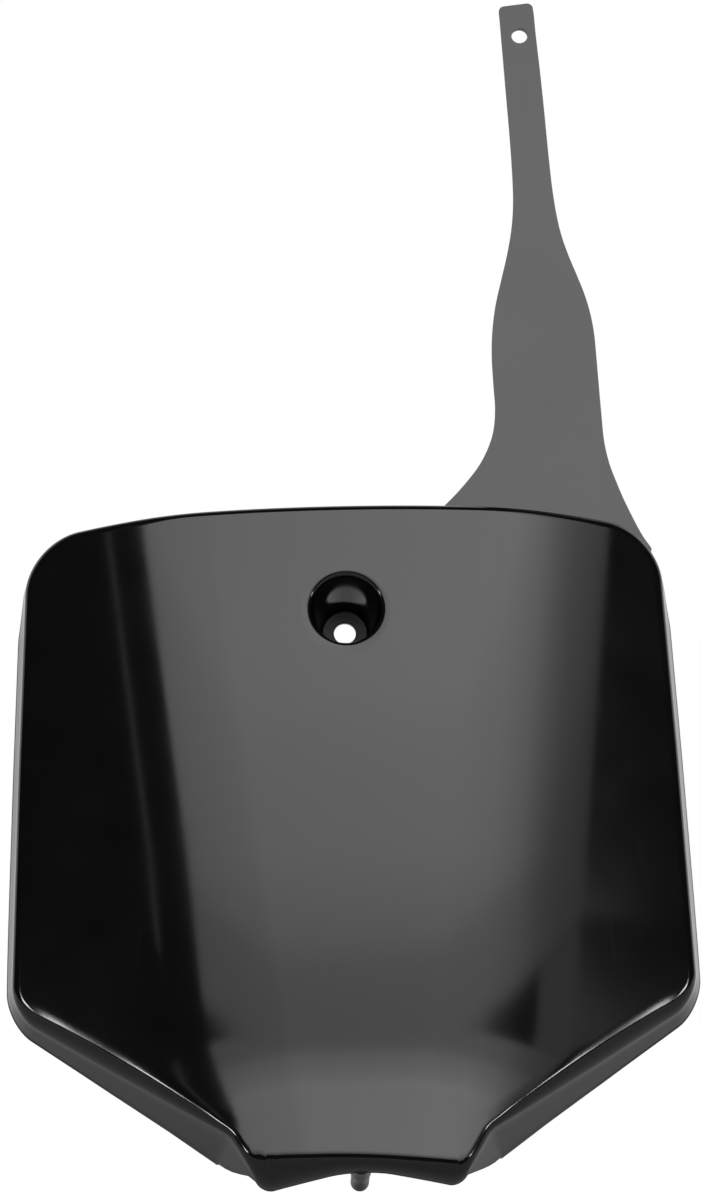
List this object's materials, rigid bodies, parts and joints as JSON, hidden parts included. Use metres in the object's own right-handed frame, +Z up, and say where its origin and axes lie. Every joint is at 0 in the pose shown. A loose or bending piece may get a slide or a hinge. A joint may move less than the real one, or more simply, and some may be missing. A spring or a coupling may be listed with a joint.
{
  "type": "motorcycle front number plate",
  "caption": "Moulded front number plate with a recessed bolt well, a return flange, a locating peg behind its chin and a strap that folds back to the bolt.",
  "frame": {"origin": "centre of the bolt hole on the back of the well floor", "axes": "+Z up as fitted, -Y the way the face looks, +X to the right of someone facing the plate; the plate leans back 19 degrees"},
  "size_m": [0.2488, 0.1641, 0.4315],
  "materials": {
    "gloss_black": "high gloss",
    "strap_black": "satin gloss"
  },
  "bodies": {
    "plate": {"shield": "gloss_black", "bolt_well": "gloss_black", "locating_peg": "gloss_black", "strap_root": "strap_black"},
    "strap_link_1": {"strap_link_1": "strap_black"},
    "strap_link_2": {"strap_link_2": "strap_black"},
    "strap_link_3": {"strap_link_3": "strap_black"},
    "strap_link_4": {"strap_link_4": "strap_black"},
    "strap_link_5": {"strap_link_5": "strap_black"},
    "strap_link_6": {"strap_link_6": "strap_black"},
    "strap_run": {"strap_run": "strap_black"},
    "strap_tip": {"strap_tip": "strap_black"}
  },
  "joints": [
    {"name": "bend_1", "type": "hinge", "parent": "plate", "child": "strap_link_1", "pos_m": [0.076, 0.01644, 0.07846], "axis": [-0.9554, 0.0961, 0.2792], "range_deg": [0, 27.86], "stiffness_Nm_per_rad": 0.06},
    {"name": "bend_2", "type": "hinge", "parent": "strap_link_1", "child": "strap_link_2", "pos_m": [0.076, 0.01916, 0.08636], "axis": [-0.9554, 0.0961, 0.2792], "range_deg": [0, 27.86], "stiffness_Nm_per_rad": 0.06},
    {"name": "bend_3", "type": "hinge", "parent": "strap_link_2", "child": "strap_link_3", "pos_m": [0.076, 0.02188, 0.09426], "axis": [-0.9554, 0.0961, 0.2792], "range_deg": [0, 27.86], "stiffness_Nm_per_rad": 0.06},
    {"name": "bend_4", "type": "hinge", "parent": "strap_link_3", "child": "strap_link_4", "pos_m": [0.076, 0.0246, 0.10215], "axis": [-0.9554, 0.0961, 0.2792], "range_deg": [0, 27.86], "stiffness_Nm_per_rad": 0.06},
    {"name": "bend_5", "type": "hinge", "parent": "strap_link_4", "child": "strap_link_5", "pos_m": [0.076, 0.02732, 0.11005], "axis": [-0.9554, 0.0961, 0.2792], "range_deg": [0, 27.86], "stiffness_Nm_per_rad": 0.06},
    {"name": "bend_6", "type": "hinge", "parent": "strap_link_5", "child": "strap_link_6", "pos_m": [0.076, 0.03004, 0.11795], "axis": [-0.9554, 0.0961, 0.2792], "range_deg": [0, 27.86], "stiffness_Nm_per_rad": 0.06},
    {"name": "bend_7", "type": "hinge", "parent": "strap_link_6", "child": "strap_run", "pos_m": [0.073, 0.03306, 0.12673], "axis": [-0.9554, 0.0961, 0.2792], "range_deg": [0, 27.86], "stiffness_Nm_per_rad": 0.06},
    {"name": "bend_8", "type": "hinge", "parent": "strap_run", "child": "strap_tip", "pos_m": [0.0715, 0.06029, 0.21194], "axis": [-0.9554, 0.0961, 0.2792], "range_deg": [-15, 0], "stiffness_Nm_per_rad": 0.06}
  ],
  "couplings": [
    {"joint": "bend_2", "follows": "bend_1", "ratio": 1},
    {"joint": "bend_3", "follows": "bend_1", "ratio": 1},
    {"joint": "bend_4", "follows": "bend_1", "ratio": 1},
    {"joint": "bend_5", "follows": "bend_1", "ratio": 1},
    {"joint": "bend_6", "follows": "bend_1", "ratio": 1},
    {"joint": "bend_7", "follows": "bend_1", "ratio": 1},
    {"joint": "bend_8", "follows": "bend_1", "ratio": -0.53846}
  ]
}
